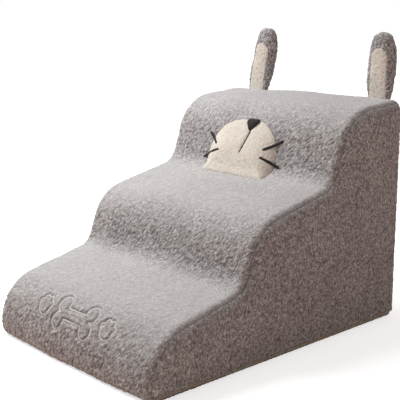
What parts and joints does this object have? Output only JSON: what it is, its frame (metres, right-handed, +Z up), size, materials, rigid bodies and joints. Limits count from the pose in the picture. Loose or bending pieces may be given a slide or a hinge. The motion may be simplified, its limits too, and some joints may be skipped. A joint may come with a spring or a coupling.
{
  "type": "pet steps",
  "caption": "Soft pet stairs: a stepped foam core in a zipped plush cover, with two stuffed ears that bend and a sewn muzzle on the top riser.",
  "frame": {"origin": "middle of the face that rests on the floor", "axes": "+Z up, steps face -Y and climb towards +Y, +X is the right side of somebody who climbs them"},
  "size_m": [0.42, 0.5874, 0.5217],
  "materials": {
    "plush_grey": "short warm-grey plush pile",
    "plush_cream": "short cream plush pile",
    "thread_black": "black embroidery thread",
    "thread_pale": "pale embroidery thread",
    "base_fabric": "woven anti-slip cloth with grip dots",
    "foam_core": "open-cell polyurethane foam",
    "fibre_filling": "polyester fibre filling",
    "zip_tape": "woven zip tape",
    "zip_coil": "nylon coil",
    "zip_metal": "plated zinc"
  },
  "bodies": {
    "steps": {"step_panel": "plush_grey", "left_side_panel": "plush_grey", "right_side_panel": "plush_grey", "back_panel_upper": "plush_grey", "back_panel_lower": "plush_grey", "muzzle_patch": "plush_cream", "nose_patch": "thread_black", "mouth_stitch": "thread_black", "whisker_left_upper": "thread_black", "whisker_left_lower": "thread_black", "whisker_right_upper": "thread_black", "whisker_right_lower": "thread_black", "bone_embroidery": "thread_pale", "paw_embroidery_left": "thread_pale", "paw_embroidery_right": "thread_pale", "base_panel": "base_fabric", "foam_base_block": "foam_core", "foam_middle_block": "foam_core", "foam_top_block": "foam_core", "zip_tape_upper": "zip_tape", "zip_tape_lower": "zip_tape", "zip_coil_upper": "zip_coil", "zip_coil_lower": "zip_coil", "zip_stop_left": "zip_metal", "zip_stop_right": "zip_metal"},
    "left_ear": {"left_ear_shell": "plush_grey", "left_ear_lining": "plush_cream", "left_ear_filling": "fibre_filling"},
    "right_ear": {"right_ear_shell": "plush_grey", "right_ear_lining": "plush_cream", "right_ear_filling": "fibre_filling"},
    "slider": {"zip_slider": "zip_metal"},
    "pull": {"zip_pull": "zip_metal"}
  },
  "joints": [
    {"name": "left_ear_bend", "type": "hinge", "parent": "steps", "child": "left_ear", "pos_m": [-0.131, 0.2835, 0.4074], "axis": [1, 0, 0], "range_deg": [-80, 80], "stiffness_Nm_per_rad": 0.02},
    {"name": "right_ear_bend", "type": "hinge", "parent": "steps", "child": "right_ear", "pos_m": [0.165, 0.2835, 0.4074], "axis": [1, 0, 0], "range_deg": [-80, 80], "stiffness_Nm_per_rad": 0.02},
    {"name": "zip_slide", "type": "slide", "parent": "steps", "child": "slider", "axis": [-1, 0, 0], "range_m": [0, 0.348]},
    {"name": "zip_pull_flip", "type": "hinge", "parent": "slider", "child": "pull", "pos_m": [0.174, 0.29095, 0.06], "axis": [0, 0, -1], "range_deg": [0, 170]}
  ]
}
